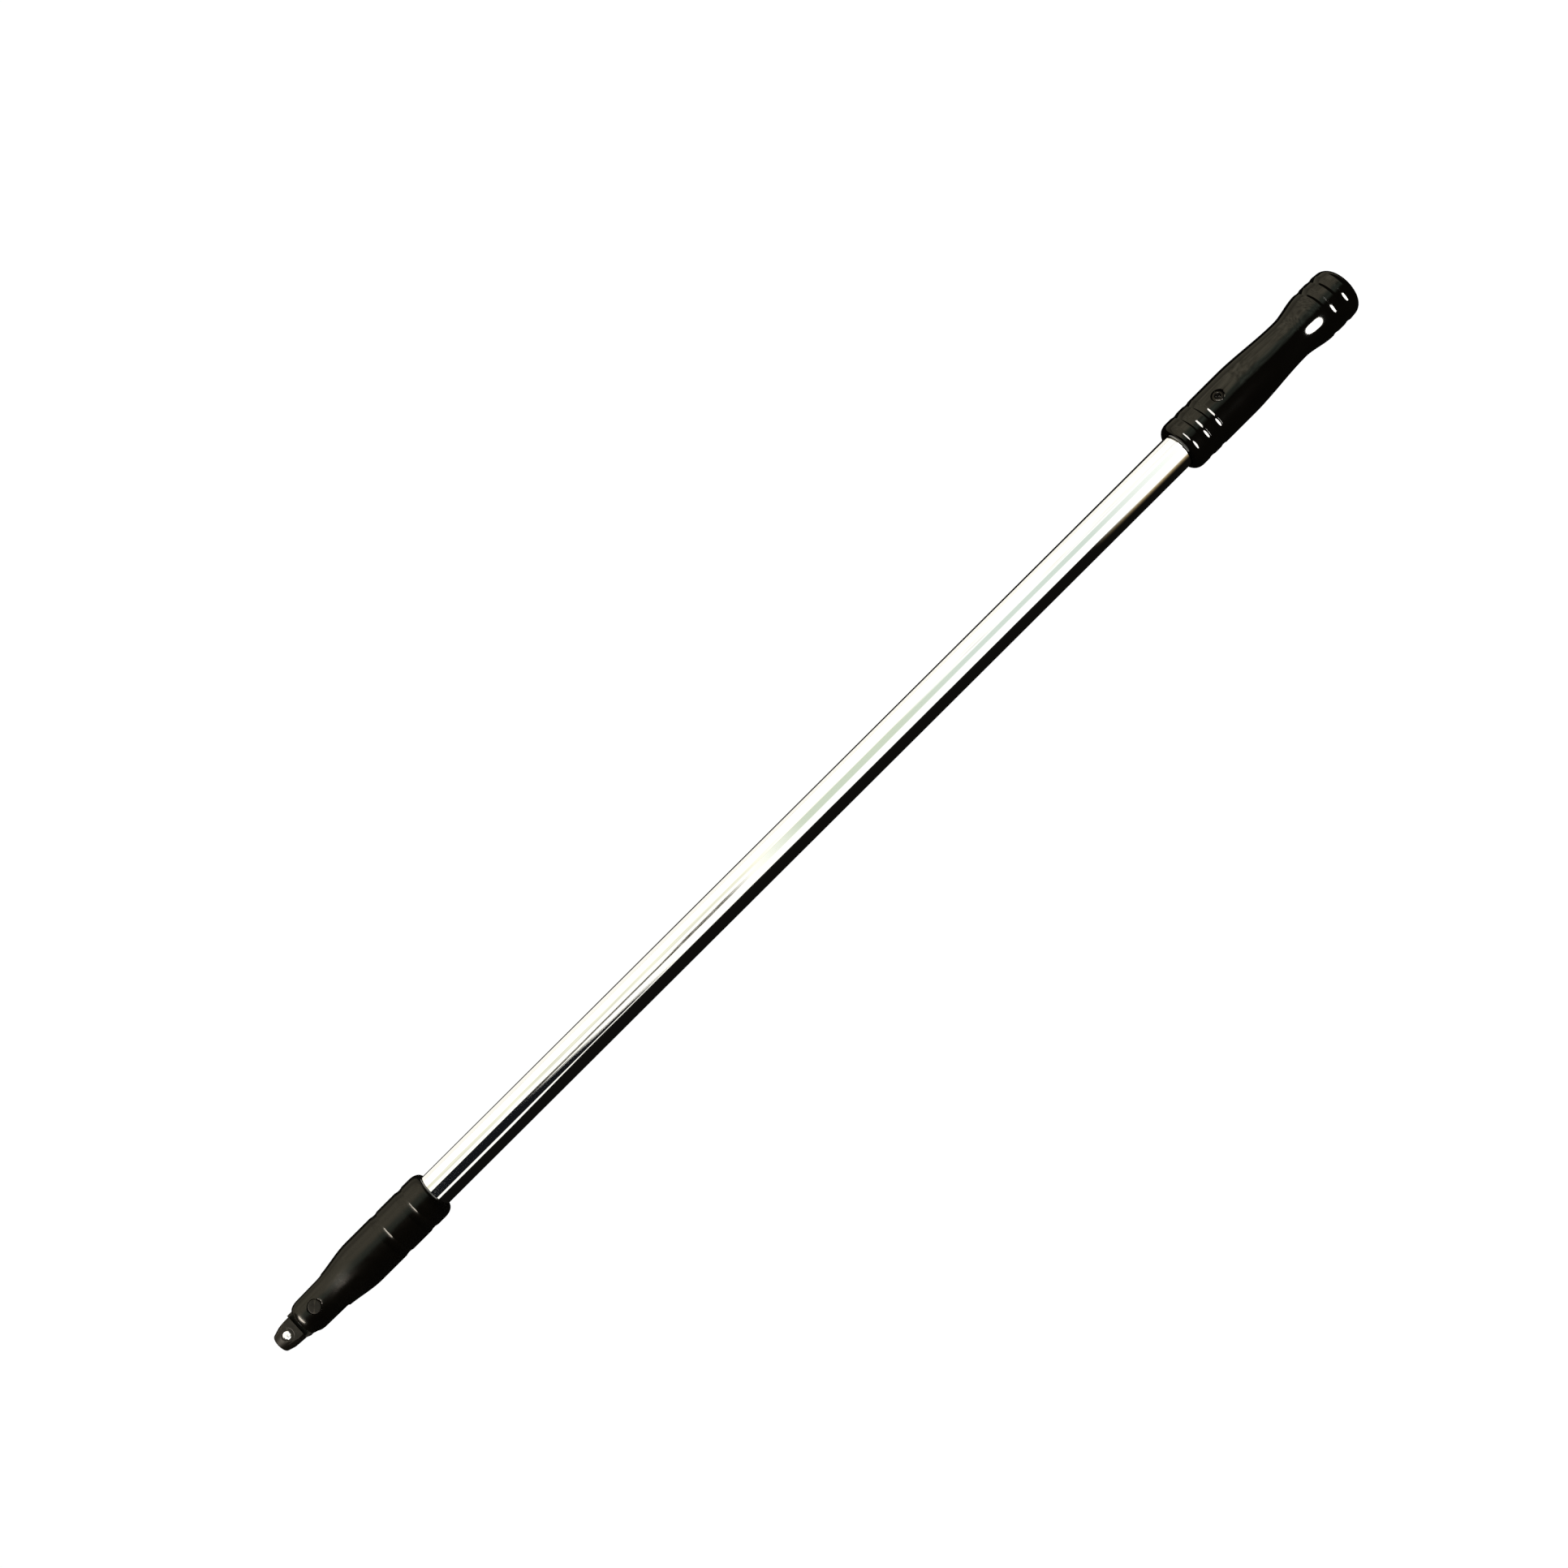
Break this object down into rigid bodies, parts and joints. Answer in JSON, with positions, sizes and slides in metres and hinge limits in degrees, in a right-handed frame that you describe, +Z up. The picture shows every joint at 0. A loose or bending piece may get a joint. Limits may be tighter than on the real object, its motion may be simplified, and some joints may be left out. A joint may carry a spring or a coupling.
{
  "type": "breaker bar",
  "caption": "Long flex-head breaker bar: hinged square drive with a detent ball, forked black head, round chromed bar and a turned black grip.",
  "frame": {"origin": "below the middle of the tool's length, on the surface that the grip's flare rests on", "axes": "+X along the bar from the drive to the grip, +Z up along the hinge pin and out of the square's detent face, +Y to the left when looking from the drive's tip towards +X"},
  "size_m": [0.762, 0.0288, 0.0288],
  "materials": {
    "chrome": "polished chrome plate",
    "black_enamel": "glossy black enamel",
    "black_phosphate": "satin black phosphate on steel",
    "spring_steel": "drawn wire"
  },
  "bodies": {
    "handle": {"bar": "chrome", "yoke": "black_enamel", "hinge_pin": "black_phosphate", "tension_spring": "spring_steel", "grip": "black_enamel", "grip_screw": "black_phosphate"},
    "drive": {"drive": "black_phosphate", "detent_spring": "spring_steel"},
    "ball": {"detent_ball": "chrome"},
    "plunger": {"tension_plunger": "black_phosphate"}
  },
  "joints": [
    {"name": "drive_swivel", "type": "hinge", "parent": "handle", "child": "drive", "pos_m": [-0.3524, 0, 0.0144], "axis": [0, 0, 1], "range_deg": [-90, 90]},
    {"name": "ball_press", "type": "slide", "parent": "drive", "child": "ball", "axis": [0, 0, -1], "range_m": [0, 0.0012], "stiffness_N_per_m": 5000, "springref_m": -0.001, "deforming": ["detent_spring"]},
    {"name": "plunger_press", "type": "slide", "parent": "handle", "child": "plunger", "axis": [1, 0, 0], "range_m": [0, 0.001], "stiffness_N_per_m": 6000, "springref_m": -0.0015, "deforming": ["tension_spring"]}
  ]
}
